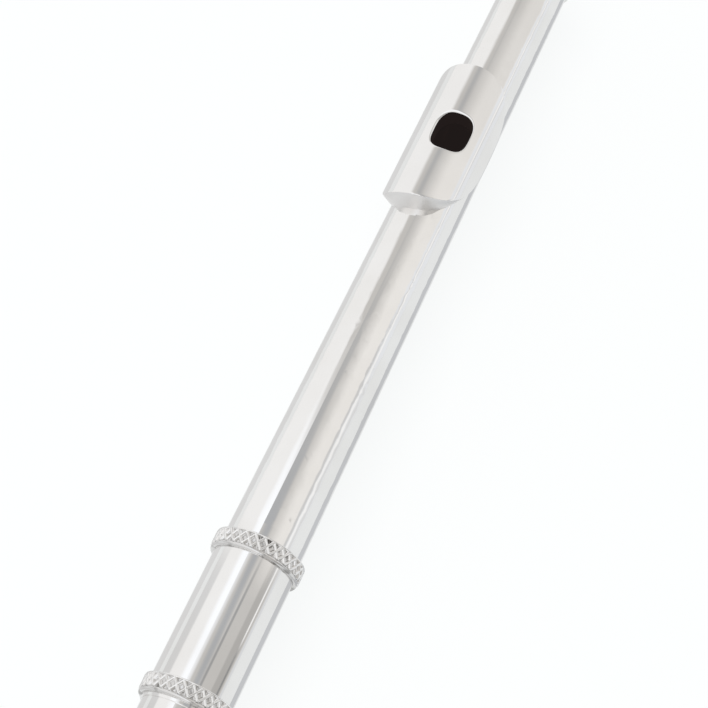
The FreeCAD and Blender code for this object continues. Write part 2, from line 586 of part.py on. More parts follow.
def make_gsharp_key():
    """Stands closed on the back of the tube. Its lever reaches up past the main steel."""
    y, z = around(*GSHARP_STEEL)
    x0, x1 = GSHARP_POSTS["low"] + BALL_EDGE, GSHARP_POSTS["high"] - BALL_EDGE
    over = CUP_TOP + ARM_THICK * 0.35
    cup_mid = around(GSHARP_ANGLE, over + CUP_DOME * 0.6)
    edge_y, edge_z = cup_radius("gsharp") + 0.5, over
    turn_rad = math.radians(GSHARP_ANGLE)
    edge = (edge_y * -math.cos(turn_rad) + edge_z * math.sin(turn_rad),
            edge_y * math.sin(turn_rad) + edge_z * math.cos(turn_rad))
    path = [(y, z), (y + 1.7, z - 5.5), (edge[0] + 3.0, edge[1] + 1.6), edge, cup_mid]
    hole_x = HOLE_X["gsharp"]
    long_arm = strap(path, ARM_THICK, hole_x - 1.7, hole_x + 1.7)
    lever_x = x0 + 2.6
    lever_path = [(y, z), (y - 0.2, z + 4.6), (y - 3.6, RIM_HEIGHT + 0.2)]
    lever = strap(lever_path, ARM_THICK, lever_x - 1.6, lever_x + 1.6)
    blade = touch_blade(MAIN_POSTS["split"] - 7.2, lever_x + 1.6, y - 8.0, y - 3.4, RIM_HEIGHT + 0.9, 1.8)
    pieces = [hinge_tube(x0, x1, GSHARP_STEEL), placed("gsharp", cup("gsharp")), long_arm, lever, blade]
    nodes["gsharp_key"] = key(pieces, GSHARP_STEEL)
    nodes["gsharp_pad"] = placed("gsharp", pad("gsharp"))


def make_thumb_keys():
    """The B key over the thumb hole and the B flat lever beside it, on one steel."""
    y, z = steel_from_cup("thumb", THUMB_STEEL)
    split = HOLE_X["thumb"] - 10.6
    x0, x1 = THUMB_POSTS["low"] + BALL_EDGE, THUMB_POSTS["high"] - BALL_EDGE
    pieces = [hinge_tube(split + AXIAL_GAP, x1, THUMB_STEEL)] + cup_and_arm("thumb", THUMB_STEEL)
    plate = touch_blade(HOLE_X["thumb"] - 5.5, HOLE_X["thumb"] + 5.5, -9.5, 4.0, CUP_TOP + 1.9, 3.0)
    pieces.append(placed("thumb", plate))
    nodes["thumb_b_key"] = opened(key(pieces, THUMB_STEEL), "thumb", THUMB_STEEL, 1)
    nodes["thumb_b_pad"] = opened(placed("thumb", pad("thumb")), "thumb", THUMB_STEEL, 1)
    lever_x = (x0 + split) / 2
    top = CUP_TOP + 1.9
    blade = touch_blade(lever_x - 4.8, lever_x + 4.8, -8.0, 4.5, top, 3.0)
    under = top - TOUCH_THICK / 2
    reach = strap([(y, z), (y - 1.4, RIM_HEIGHT + 0.8), (4.6, under - 0.1), (1.0, under)],
                  ARM_THICK, lever_x - 2.0, lever_x + 2.0)
    lever = [hinge_tube(x0, split, THUMB_STEEL), placed("thumb", blade), placed("thumb", reach)]
    nodes["thumb_bflat_lever"] = opened(key(lever, THUMB_STEEL), "thumb", THUMB_STEEL, 1)


# ---- foot ----
FOOT_POSTS = {"open_end": HOLE_X["foot_c"] - 14.3, "c": between("foot_c", "foot_csharp"),
              "csharp": between("foot_csharp", "foot_dsharp"), "body_end": HOLE_X["foot_dsharp"] + 13.5}
ROLLER_R = 1.9
ROLLER_PIN_R = 0.6


def make_foot_tube():
    socket_r = TUBE_R + SLIDE_GAP
    shoulder = FOOT_LENGTH - SOCKET_DEPTH
    skin = bar(TUBE_R, 0, shoulder).fuse(bar(socket_r + WALL, shoulder - 1.5, FOOT_LENGTH))
    bore = bar(BORE_R, -1, shoulder).fuse(bar(socket_r, shoulder, FOOT_LENGTH + 1))
    nodes["foot_tube"] = with_tone_holes(skin, bore, list(FOOT_HOLE_AT))
    seat = socket_r + WALL
    x1 = FOOT_LENGTH
    nodes["foot_socket_ring"] = turned([(x1 - 3.2, seat), (x1 - 3.0, seat + 0.45), (x1 - 2.4, seat + 0.75),
                                        (x1 - 0.8, seat + 0.75), (x1 - 0.2, seat + 0.45), (x1, seat)])


def make_foot_mounts():
    springs = [needle_spring(FOOT_POSTS[name], FOOT_STEEL, -1) for name in ("c", "csharp", "body_end")]
    nodes["foot_springs"] = group(springs)
    seats = {"body_end": TUBE_R + SLIDE_GAP + WALL}
    posts = [saddle_post(x, FOOT_STEEL, seats.get(name, TUBE_R), STEEL_R + HINGE_GAP)
             for name, x in FOOT_POSTS.items()]
    nodes["foot_posts"] = group([p.cut(springs) for p in posts])


def make_foot_keys():
    """C is the solid rod that C sharp and D sharp turn on. The finger's blades are on the player's side."""
    y, z = around(*FOOT_STEEL)
    top = z - 1.4

    def reach(x0, x1, length):
        under = top - TOUCH_THICK / 2
        return strap([(y, z), (y + 4.5, z + 0.2), (y + 8.0, under), (y + length, under)], ARM_THICK, x0, x1)

    c_touch_x0 = FOOT_POSTS["csharp"] + BALL_EDGE
    d_x0 = c_touch_x0 + 5.8
    cs = [hinge_tube(FOOT_POSTS["c"] + BALL_EDGE, FOOT_POSTS["csharp"] - BALL_EDGE, FOOT_STEEL)]
    cs += cup_and_arm("foot_csharp", FOOT_STEEL)
    cs_x1 = FOOT_POSTS["csharp"] - BALL_EDGE
    cs += [reach(cs_x1 - 2.6, cs_x1, 10.0), touch_blade(cs_x1 - 2.6, cs_x1 + 4.5, y + 8.4, y + 20.0, top)]
    nodes["foot_csharp_key"] = opened(key(cs, FOOT_STEEL), "foot_csharp", FOOT_STEEL, -1)
    cs_pad = placed("foot_csharp", pad("foot_csharp"))
    nodes["foot_csharp_pad"] = opened(cs_pad, "foot_csharp", FOOT_STEEL, -1)

    rod = bar(STEEL_R, FOOT_POSTS["open_end"] - BALL_R, FOOT_POSTS["body_end"] + BALL_R, (y, z))
    c = [rod, hinge_tube(FOOT_POSTS["open_end"] + BALL_EDGE, FOOT_POSTS["c"] - BALL_EDGE, FOOT_STEEL),
         hinge_tube(c_touch_x0, d_x0 - AXIAL_GAP, FOOT_STEEL)] + cup_and_arm("foot_c", FOOT_STEEL)
    blade_x0, blade_x1 = c_touch_x0, c_touch_x0 + 5.0
    blade = touch_blade(blade_x0, blade_x1, y + 8.4, y + 20.0, top, 1.6)
    roller_x = blade_x1 + ROLLER_R + 0.5
    lugs = [Part.makeBox(ROLLER_R * 2 + 1.0, 1.2, 1.6, V(blade_x1 - 0.6, y + at, top - 1.45))
            for at in (8.8, 18.4)]
    c += [reach(c_touch_x0, c_touch_x0 + 3.4, 10.0), blade] + lugs
    pin_z = top - 0.7
    pin = Part.makeCylinder(ROLLER_PIN_R, 10.8, V(roller_x, y + 8.8, pin_z), V(0, 1, 0))
    c_key = key(c + [pin], FOOT_STEEL, None)
    nodes["foot_c_key"] = opened(c_key, "foot_c", FOOT_STEEL, -1)
    nodes["foot_c_pad"] = opened(placed("foot_c", pad("foot_c")), "foot_c", FOOT_STEEL, -1)
    roller = Part.makeCylinder(ROLLER_R, 8.0, V(roller_x, y + 10.2, pin_z), V(0, 1, 0))
    roller = roller.makeFillet(0.5, [e for e in roller.Edges if len(e.Vertexes) == 1])
    pin_bore = Part.makeCylinder(ROLLER_PIN_R + HINGE_GAP, 12.0, V(roller_x, y + 8.0, pin_z), V(0, 1, 0))
    roller = roller.cut(pin_bore)
    nodes["foot_roller"] = opened(roller, "foot_c", FOOT_STEEL, -1)

    ds_touch_x0 = roller_x + ROLLER_R + 0.8
    ds_x1 = FOOT_POSTS["body_end"] - BALL_EDGE
    ds = [hinge_tube(d_x0, ds_x1, FOOT_STEEL)] + cup_and_arm("foot_dsharp", FOOT_STEEL)
    ds += [reach(ds_x1 - 4.4, ds_x1 - 0.6, 10.0)]
    ds += [touch_blade(ds_touch_x0, ds_x1, y + 8.4, y + 20.0, top, 2.6)]
    nodes["foot_dsharp_key"] = key(ds, FOOT_STEEL)
    nodes["foot_dsharp_pad"] = placed("foot_dsharp", pad("foot_dsharp"))


make_headjoint()
make_stopper_and_crown()
make_body_tube()
make_body_mounts()
make_main_keys()
make_trill_keys()
make_gsharp_key()
make_thumb_keys()
make_foot_tube()
make_foot_mounts()
make_foot_keys()

os.makedirs("parts", exist_ok=True)
for node, shape in nodes.items():
    shape.exportStep("parts/" + node + ".step")
print(len(nodes), "nodes")
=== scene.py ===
import json
import math

import bpy
import numpy as np
from mathutils import Matrix, Vector

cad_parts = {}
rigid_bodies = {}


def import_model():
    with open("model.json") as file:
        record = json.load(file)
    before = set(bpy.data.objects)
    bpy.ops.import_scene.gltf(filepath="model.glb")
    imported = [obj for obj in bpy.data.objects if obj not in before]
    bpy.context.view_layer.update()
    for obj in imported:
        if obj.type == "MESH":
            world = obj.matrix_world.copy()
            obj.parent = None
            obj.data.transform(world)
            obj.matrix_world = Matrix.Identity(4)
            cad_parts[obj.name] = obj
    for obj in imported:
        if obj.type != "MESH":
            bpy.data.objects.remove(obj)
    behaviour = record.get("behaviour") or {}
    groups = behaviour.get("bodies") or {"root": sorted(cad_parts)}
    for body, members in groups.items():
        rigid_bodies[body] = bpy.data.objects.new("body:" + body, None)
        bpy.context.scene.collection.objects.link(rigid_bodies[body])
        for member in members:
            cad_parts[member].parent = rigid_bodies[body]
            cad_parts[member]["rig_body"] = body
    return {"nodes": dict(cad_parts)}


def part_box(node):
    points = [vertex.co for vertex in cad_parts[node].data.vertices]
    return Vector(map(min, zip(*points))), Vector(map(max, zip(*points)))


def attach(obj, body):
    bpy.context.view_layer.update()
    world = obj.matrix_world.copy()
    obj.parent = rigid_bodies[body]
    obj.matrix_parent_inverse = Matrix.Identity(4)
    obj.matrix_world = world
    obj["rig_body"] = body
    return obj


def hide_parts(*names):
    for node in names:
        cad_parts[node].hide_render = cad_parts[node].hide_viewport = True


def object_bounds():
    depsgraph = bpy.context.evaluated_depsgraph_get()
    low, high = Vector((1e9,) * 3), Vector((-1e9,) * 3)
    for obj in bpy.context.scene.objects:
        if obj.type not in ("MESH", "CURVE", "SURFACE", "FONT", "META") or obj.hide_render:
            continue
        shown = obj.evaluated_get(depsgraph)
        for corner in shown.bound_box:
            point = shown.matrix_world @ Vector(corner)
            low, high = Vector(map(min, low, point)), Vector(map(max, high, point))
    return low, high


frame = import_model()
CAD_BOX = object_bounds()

MM = 0.001
NODES = frame["nodes"]


# ---------- sizes read from the frame ----------
def ends(node):
    low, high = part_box(node)
    return low[0], high[0]


def outer_radius(node):
    """Half the width of a node that stands evenly round the bore."""
    low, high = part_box(node)
    return (high[1] - low[1]) / 2


HEAD_END_X = ends("headjoint_tube")[1]
PLATE_X0, PLATE_X1 = ends("lip_plate")
PLATE_TOP_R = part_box("lip_plate")[1][2]
BLOW_X = (PLATE_X0 + PLATE_X1) / 2
BARREL_R = outer_radius("barrel")
# A new surface stays this little inside the solid that it stands for.
HAIR = 0.01 * MM
TWO_HAIRS = 0.02 * MM


# ---------- the view ----------
def make_camera():
    """The camera stands over the body and looks along the headjoint, rolled so that the flute climbs."""
    stand = Vector((325.1, -105.0, 419.6)) * MM
    aim = Vector((535.3, 0.83, 0.0)) * MM
    up_hint = Vector((0.8079, 0.3304, 0.4880))
    back = (stand - aim).normalized()
    right = up_hint.cross(back).normalized()
    up = back.cross(right)
    data = bpy.data.cameras.new("camera")
    data.lens = 95.8
    data.sensor_width = 36.0
    data.clip_start = 5 * MM
    camera = bpy.data.objects.new("camera", data)
    turn = Matrix((right, up, back)).transposed().to_4x4()
    camera.matrix_world = Matrix.Translation(stand) @ turn
    bpy.context.scene.collection.objects.link(camera)
    bpy.context.scene.camera = camera


# ---------- the studio ----------
# The share of light that polished silver gives back.
SILVER_SHINE = 0.93
# Tints, as shares of red, green and blue.
WARM = (1.025, 1.0, 0.965)
IVORY = (1.006, 1.0, 0.992)
PLAIN = (1.0, 1.0, 1.0)
COOL = (0.98, 1.0, 1.03)
# A direction's lean is its part along +X. A slanted panel is in its own place at the middle lean, and
# slants no further past the most. A pair is the leans at which a panel starts to show and shows in full.
LEAN_MIDDLE = 0.45
LEAN_MOST = 0.52
ALL = None
BARREL_ONLY = (0.34, 0.305)
LOW_ONLY = (0.44, 0.37)
CROWN_ONLY = (0.5, 0.6)
# The studio is a pale room, this bright out of 255.
ROOM_LEVEL = 227
# Wide panels and narrow flags run along the flute. Each is: (name, from and to in degrees round the bore,
# softness of those two edges, brightness out of 255, tint, slant in degrees for each unit of lean, and
# the leans at which it shows).
PANELS = [
    ("far_wall", 0, 180, 10, 1, 214, PLAIN, 0, ALL),
    ("player_side_panel", 24, 100, 12, 34, 235, IVORY, 40, ALL),
    ("warm_wall", -65, 0, 5, 20, 227, WARM, 0, ALL),
    ("warm_wall_dim", -64, 0, 5, 20, 215, WARM, 0, CROWN_ONLY),
    ("flag_penumbra", -16, 27, 46, 12, 190, WARM, 100, ALL),
    ("flag_core", 2, 14, 14, 12, 174, PLAIN, 110, ALL),
    ("flag_core_low", 2, 14, 14, 12, 172, COOL, 110, LOW_ONLY),
    ("strip_softbox", 14, 35, 14, 14, 253, COOL, 30, LOW_ONLY),
    ("dark_line", -71, -64, 4, 4, 200, IVORY, 0, (0.48, 0.45)),
    ("dark_line_high", -76, -69, 4, 4, 205, IVORY, -60, (0.45, 0.48)),
    ("bright_line", -79, -73, 3, 3, 236, IVORY, 0, (0.46, 0.42)),
    ("near_line", -88, -81, 5, 5, 214, PLAIN, 0, (0.45, 0.42)),
    ("barrel_near_wall", -100, -86, 4, 8, 212, COOL, 0, BARREL_ONLY),
    ("barrel_warm_wall", -84, -24, 6, 6, 190, WARM, 0, BARREL_ONLY),
    ("barrel_low_wall", -80, -56, 5, 6, 172, WARM, 0, BARREL_ONLY),
    ("barrel_thin_flag", -28, -22, 4, 4, 156, PLAIN, 0, BARREL_ONLY),
    ("barrel_dark_line", -78, -73, 3, 3, 140, PLAIN, 0, (0.285, 0.275)),
    ("barrel_bright_line", -78, -74, 3, 3, 240, IVORY, 0, (0.28, 0.29)),
    ("barrel_player_flag", 66, 100, 8, 8, 208, PLAIN, 0, BARREL_ONLY),
]


def linear(level):
    """The light of a display level out of 255."""
    return ((level / 255 + 0.055) / 1.055) ** 2.4


def new_math(tree, operation, *values):
    """A maths node. A value is a number or another node's output."""
    node = tree.nodes.new("ShaderNodeMath")
    node.operation = operation
    for socket, value in zip(node.inputs, values):
        if isinstance(value, (int, float)):
            socket.default_value = value
        else:
            tree.links.new(value, socket)
    return node.outputs[0]


def new_ramp(tree, where, stops):
    """A colour ramp over the output called where; a stop is (place from 0 to 1, colour)."""
    node = tree.nodes.new("ShaderNodeValToRGB")
    elements = node.color_ramp.elements
    while len(elements) < len(stops):
        elements.new(0.5)
    for element, (place, colour) in zip(elements, stops):
        element.position = place
        element.color = (*colour, 1.0)
    tree.links.new(where, node.inputs["Fac"])
    return node.outputs["Color"]


def seen_directly(tree, *kinds):
    """1 for rays of these kinds and 0 for the rest."""
    path = tree.nodes.new("ShaderNodeLightPath")
    total = path.outputs[kinds[0]]
    for kind in kinds[1:]:
        total = new_math(tree, "MAXIMUM", total, path.outputs[kind])
    return total


def mix_colour(tree, share, first, second):
    """The first colour where the share is 0, and the second where it is 1."""
    node = tree.nodes.new("ShaderNodeMix")
    node.data_type = "RGBA"
    sockets = [socket for socket in node.inputs if socket.enabled]
    for socket, value in zip(sockets, (share, first, second)):
        if isinstance(value, (float, tuple)):
            socket.default_value = value
        else:
            tree.links.new(value, socket)
    return next(socket for socket in node.outputs if socket.enabled)


def new_step(tree, value, zero_at, one_at):
    """A smooth step of the value, from 0 to 1 between two places, which may be in either order."""
    node = tree.nodes.new("ShaderNodeMapRange")
    node.interpolation_type = "SMOOTHSTEP"
    node.inputs["From Min"].default_value = zero_at
    node.inputs["From Max"].default_value = one_at
    tree.links.new(value, node.inputs["Value"])
    return node.outputs["Result"]


def glow_of(level, tint):
    """The colour of a light that polished silver shows at this display level."""
    return tuple(linear(level) / SILVER_SHINE * share for share in tint)


def make_studio():
    """The world: a pale room with the panels and flags above. The camera sees it white."""
    world = bpy.data.worlds.new("studio")
    bpy.context.scene.world = world
    world.use_nodes = True
    tree = world.node_tree
    direction = tree.nodes.new("ShaderNodeTexCoord").outputs["Generated"]
    axes = tree.nodes.new("ShaderNodeSeparateXYZ")
    tree.links.new(direction, axes.inputs[0])
    lean, across, height = axes.outputs
    turn = new_math(tree, "MULTIPLY", new_math(tree, "ARCTAN2", across, height), 180 / math.pi)
    slope = new_math(tree, "SUBTRACT", new_math(tree, "MINIMUM", lean, LEAN_MOST), LEAN_MIDDLE)
    light = (*glow_of(ROOM_LEVEL, COOL), 1.0)
    for _, start, end, soft_start, soft_end, level, tint, slant, leans in PANELS:
        where = new_math(tree, "MULTIPLY_ADD", slope, -slant, turn) if slant else turn
        share = new_math(tree, "MULTIPLY",
                         new_step(tree, where, start - soft_start / 2, start + soft_start / 2),
                         new_step(tree, where, end + soft_end / 2, end - soft_end / 2))
        if leans:
            share = new_math(tree, "MULTIPLY", share, new_step(tree, lean, *leans))
        light = mix_colour(tree, share, light, (*glow_of(level, tint), 1.0))
    seen = seen_directly(tree, "Is Camera Ray", "Is Transmission Ray")
    light = mix_colour(tree, seen, light, (1.0, 1.0, 1.0, 1.0))
    tree.links.new(light, tree.nodes["Background"].inputs["Color"])


def flat_sheet(name, x_range, y_range, z, material):
    """A level rectangle that belongs to the studio."""
    mesh = bpy.data.meshes.new(name)
    corners = [(x, y, z) for x, y in ((x_range[0], y_range[0]), (x_range[1], y_range[0]),
                                      (x_range[1], y_range[1]), (x_range[0], y_range[1]))]
    mesh.from_pydata(corners, [], [(0, 1, 2, 3)])
    mesh.materials.append(material)
    sheet = bpy.data.objects.new(name, mesh)
    bpy.context.scene.collection.objects.link(sheet)
    return sheet


def glowing(name, level, tint):
    """A sheet's material that only glows, as bright as silver shows this display level."""
    material = bpy.data.materials.new(name)
    material.use_nodes = True
    tree = material.node_tree
    tree.nodes.remove(tree.nodes["Principled BSDF"])
    glow = tree.nodes.new("ShaderNodeEmission")
    glow.inputs["Color"].default_value = (*glow_of(level, tint), 1.0)
    tree.links.new(glow.outputs[0], tree.nodes["Material Output"].inputs["Surface"])
    return material


FLOOR_SHADE = 0.13
FLOOR_DIMMER_IN_SILVER = 0.2
FLOOR_REACH = 2.5


def make_floor():
    """A pale floor just under the flute, white to the eye and dimmer in the silver. A share of what it
    shows is its own shading, which carries the flute's soft shadow."""
    material = bpy.data.materials.new("pale_floor")
    material.use_nodes = True
    tree = material.node_tree
    tree.nodes.remove(tree.nodes["Principled BSDF"])
    paint = tree.nodes.new("ShaderNodeBsdfDiffuse")
    paint.inputs["Color"].default_value = (0.86, 0.87, 0.87, 1.0)
    white = tree.nodes.new("ShaderNodeEmission")
    white.inputs["Color"].default_value = (0.985, 1.0, 1.0, 1.0)
    mirrored = seen_directly(tree, "Is Glossy Ray")
    strength = new_math(tree, "MULTIPLY_ADD", mirrored, -FLOOR_DIMMER_IN_SILVER, 1.0)
    tree.links.new(strength, white.inputs["Strength"])
    seen = seen_directly(tree, "Is Camera Ray", "Is Glossy Ray", "Is Transmission Ray")
    share = new_math(tree, "MULTIPLY", seen, 1 - FLOOR_SHADE)
    both = tree.nodes.new("ShaderNodeMixShader")
    tree.links.new(share, both.inputs[0])
    tree.links.new(paint.outputs[0], both.inputs[1])
    tree.links.new(white.outputs[0], both.inputs[2])
    tree.links.new(both.outputs[0], tree.nodes["Material Output"].inputs["Surface"])
    low, high = CAD_BOX
    x_range = (low[0] - FLOOR_REACH, high[0] + FLOOR_REACH)
    flat_sheet("floor", x_range, (-FLOOR_REACH, FLOOR_REACH), low[2] - 0.1 * MM, material)


# Each card is: (name, its two long edges as distances from the bore along +Y in mm, brightness out of
# 255, tint).
EDGE_CARDS = [
    ("edge_card_far", (26, 95), 212, PLAIN),
    ("edge_card_near", (-33, -15), 193, COOL),
]
EDGE_CARD_OVERHANG = 0.4


def make_edge_cards():
    """Grey cards lie on both sides of the flute, out of the camera's sight, and draw the tube's edges in
    the silver."""
    low, high = CAD_BOX
    x_range = (low[0] - EDGE_CARD_OVERHANG, high[0] + EDGE_CARD_OVERHANG)
    for name, edges, level, tint in EDGE_CARDS:
        card = flat_sheet(name, x_range, [edge * MM for edge in edges], low[2], glowing(name, level, tint))
        card.visible_camera = False
        card.visible_diffuse = False
        card.visible_shadow = False
        card.visible_transmission = False


def make_lamp():
    """A wide soft lamp overhead brings matt surfaces up to their own colour. Silver doesn't show it."""
    data = bpy.data.lights.new("overhead", "AREA")
    data.shape = "RECTANGLE"
    data.size = 1.6
    data.size_y = 1.0
    data.energy = 9.0
    lamp = bpy.data.objects.new("overhead", data)
    lamp.location = (0.33, 0.15, 1.2)
    lamp.visible_glossy = False
    lamp.visible_camera = False
    bpy.context.scene.collection.objects.link(lamp)


# ---------- finishes ----------
# Painted shade for the surface inside the bore, and a painted glow that stands in for the faint light that
# its walls pass on.
BORE_PAINTED_SHADE = (0.035, 0.022, 0.018, 1.0)
BORE_PAINTED_GLOW = (0.0135, 0.01, 0.0095, 1.0)
# Painted shade for the ring's hollows and its near-black spots.
HOLLOW_PAINTED_SHADE = (0.12, 0.11, 0.1, 1.0)
SATIN_ROUGHNESS = 0.34
HAIRLINE_DEPTH = 0.02 * MM


def new_finish(name):
    """A new material, its node tree and its shader."""
    material = bpy.data.materials.new(name)
    material.use_nodes = True
    tree = material.node_tree
    return material, tree, tree.nodes["Principled BSDF"]


def new_noise(tree, scale, detail=4.0, stretch=(1.0, 1.0, 1.0)):
    """Noise over Object coordinates, drawn out by the stretch."""
    where = tree.nodes.new("ShaderNodeTexCoord").outputs["Object"]
    mapping = tree.nodes.new("ShaderNodeMapping")
    mapping.inputs["Scale"].default_value = stretch
    tree.links.new(where, mapping.inputs["Vector"])
    texture = tree.nodes.new("ShaderNodeTexNoise")
    texture.inputs["Scale"].default_value = scale
    texture.inputs["Detail"].default_value = detail
    tree.links.new(mapping.outputs["Vector"], texture.inputs["Vector"])
    return texture.outputs["Fac"]


def new_bump(tree, shader, height, depth, strength):
    """A relief as deep as the depth where the height is 1."""
    bump = tree.nodes.new("ShaderNodeBump")
    bump.inputs["Strength"].default_value = strength
    bump.inputs["Distance"].default_value = depth
    tree.links.new(height, bump.inputs["Height"])
    tree.links.new(bump.outputs["Normal"], shader.inputs["Normal"])


def new_range(tree, value, low, high, source=(0.35, 0.7)):
    """The value, brought from the source's two ends to low and high and held between them."""
    node = tree.nodes.new("ShaderNodeMapRange")
    for socket, number in zip(node.inputs[1:5], (*source, low, high)):
        socket.default_value = number
    tree.links.new(value, node.inputs["Value"])
    return node.outputs["Result"]


def facing_in(tree):
    """1 where the surface faces the bore's axis, worked out in the piece's own coordinates."""
    place = tree.nodes.new("ShaderNodeTexCoord")
    outward = tree.nodes.new("ShaderNodeVectorMath")
    outward.operation = "MULTIPLY"
    outward.inputs[1].default_value = (0.0, 1.0, 1.0)
    tree.links.new(place.outputs["Object"], outward.inputs[0])
    unit = tree.nodes.new("ShaderNodeVectorMath")
    unit.operation = "NORMALIZE"
    tree.links.new(outward.outputs[0], unit.inputs[0])
    agree = tree.nodes.new("ShaderNodeVectorMath")
    agree.operation = "DOT_PRODUCT"
    tree.links.new(unit.outputs[0], agree.inputs[0])
    tree.links.new(place.outputs["Normal"], agree.inputs[1])
    return new_math(tree, "LESS_THAN", agree.outputs["Value"], -0.9)


def from_attribute(tree, name):
    """The number that add_values has stored at each vertex."""
    node = tree.nodes.new("ShaderNodeAttribute")
    node.attribute_name = name
    return node.outputs["Fac"]


def silver(name, bright, dull, along=True, marks=0.05, gloss=(0.03, 0.08), painted_bore_shade=False, painted_hollow_shade=False,
           satin=False, painted_glow_all_over=False):
    """Polished silver plate: soft clouds of tarnish, uneven polish, and hairline marks along or round the
    tube. A piece with its bore shaded gets painted shade where its surface faces the bore, with a faint
    painted glow that stands in for the light of the bore's walls; a piece that glows all over has that
    painted glow everywhere. An ornament gets painted shade, greyer where its stored hollow shade is near
    1, and painted almost black in a few places. A satin finish is rougher where the attribute satin is 1."""
    material, tree, shader = new_finish(name)
    shader.inputs["Metallic"].default_value = 1.0
    tarnish = new_noise(tree, 60.0, 5.0)
    colour = new_ramp(tree, tarnish, [(0.4, bright), (0.75, dull)])
    # Painted glow: emission in place of the faint light from the bore's walls.
    shader.inputs["Emission Color"].default_value = BORE_PAINTED_GLOW
    shader.inputs["Emission Strength"].default_value = float(painted_glow_all_over)
    # Painted shade on the surface that faces the bore.
    if painted_bore_shade:
        inside = facing_in(tree)
        colour = mix_colour(tree, inside, colour, BORE_PAINTED_SHADE)
        tree.links.new(inside, shader.inputs["Emission Strength"])
    # Painted shade in the ornament's hollows, and near-black painted spots in a few places.
    if painted_hollow_shade:
        hollow = from_attribute(tree, "hollow")
        pierce_shade = new_range(tree, new_noise(tree, 330.0, 1.0), 0.24, 0.95, (0.56, 0.68))
        dark = new_math(tree, "MULTIPLY", new_range(tree, hollow, 0.0, 1.0, (0.35, 1.0)), pierce_shade)
        colour = mix_colour(tree, dark, colour, HOLLOW_PAINTED_SHADE)
    tree.links.new(colour, shader.inputs["Base Color"])
    rough = new_range(tree, new_noise(tree, 170.0, 4.0), *gloss)
    if satin:
        rough = new_math(tree, "MULTIPLY_ADD", from_attribute(tree, "satin"), SATIN_ROUGHNESS, rough)
    tree.links.new(rough, shader.inputs["Roughness"])
    stretch = (0.03, 1.0, 1.0) if along else (1.0, 0.06, 0.06)
    new_bump(tree, shader, new_noise(tree, 1500.0, 3.0, stretch), HAIRLINE_DEPTH, marks)
    return material


def matt(name, stops, scale, metallic, roughness, relief):
    """A mottled finish: noise picks the colour and raises a slight relief."""
    material, tree, shader = new_finish(name)
    mottle = new_noise(tree, scale, 6.0)
    tree.links.new(new_ramp(tree, mottle, stops), shader.inputs["Base Color"])
    shader.inputs["Metallic"].default_value = metallic
    shader.inputs["Roughness"].default_value = roughness
    new_bump(tree, shader, mottle, relief, 0.6)
    return material


# The tubes' silver gets painted shade and a painted glow inside the bore.
TUBE_SILVER = silver("tube_silver", (0.95, 0.945, 0.94), (0.9, 0.89, 0.875), painted_bore_shade=True)
KEY_SILVER = silver("key_silver", (0.95, 0.945, 0.935), (0.88, 0.87, 0.85), False)
# The rings' silver carries painted shade in its hollows.
RING_SILVER = silver("ring_silver", (0.96, 0.955, 0.95), (0.88, 0.87, 0.86), False, 0.1, (0.1, 0.22),
                     painted_hollow_shade=True)
PLATE_SILVER = silver("plate_silver", (0.95, 0.945, 0.94), (0.9, 0.89, 0.88), satin=True)
# The riser's silver is painted dark as shade, with the painted glow all over.
RISER_SHADED_SILVER = silver("riser_silver", (0.2, 0.16, 0.14), (0.12, 0.09, 0.08), painted_glow_all_over=True)
STEEL = matt("drawn_steel", [(0.35, (0.5, 0.51, 0.53)), (0.7, (0.36, 0.37, 0.4))],
             700.0, 1.0, 0.22, 0.01 * MM)
BLUED = matt("blued_spring", [(0.3, (0.03, 0.05, 0.16)), (0.7, (0.09, 0.07, 0.2))],
             500.0, 1.0, 0.3, 0.01 * MM)
BRASS = matt("turned_brass", [(0.3, (0.72, 0.52, 0.2)), (0.7, (0.6, 0.42, 0.16))],
             600.0, 1.0, 0.3, 0.02 * MM)
CORK = matt("cork", [(0.3, (0.42, 0.24, 0.11)), (0.52, (0.62, 0.4, 0.22)), (0.75, (0.74, 0.53, 0.32))],
            900.0, 0.0, 0.85, 0.15 * MM)
PAD_SKIN = matt("pad_skin", [(0.3, (0.78, 0.62, 0.36)), (0.7, (0.88, 0.76, 0.52))],
                350.0, 0.0, 0.5, 0.05 * MM)
FINISH_OF_SLOT = {"silver_plate": TUBE_SILVER, "steel": STEEL, "blued_spring": BLUED, "brass": BRASS,
                  "cork": CORK, "pad_skin": PAD_SKIN}
# The nodes whose silver gets painted shade inside the bore.
BORE_SHADED_NODES = ("_tube", "barrel")


def dress_nodes():
    """Give every solid its finish by its slot's name. Only the tubes and the barrel get painted shade in
    the bore; the riser is painted dark all over as shade, with a painted glow.
    """
    for node in NODES.values():
        for place in node.material_slots:
            finish = FINISH_OF_SLOT[place.material.name.split(".")[0]]
            if finish is TUBE_SILVER and not node.name.endswith(BORE_SHADED_NODES):
                # The riser takes the silver that is painted dark as shade, with a painted glow.
                finish = RISER_SHADED_SILVER if node.name == "embouchure_riser" else KEY_SILVER
            place.material = finish


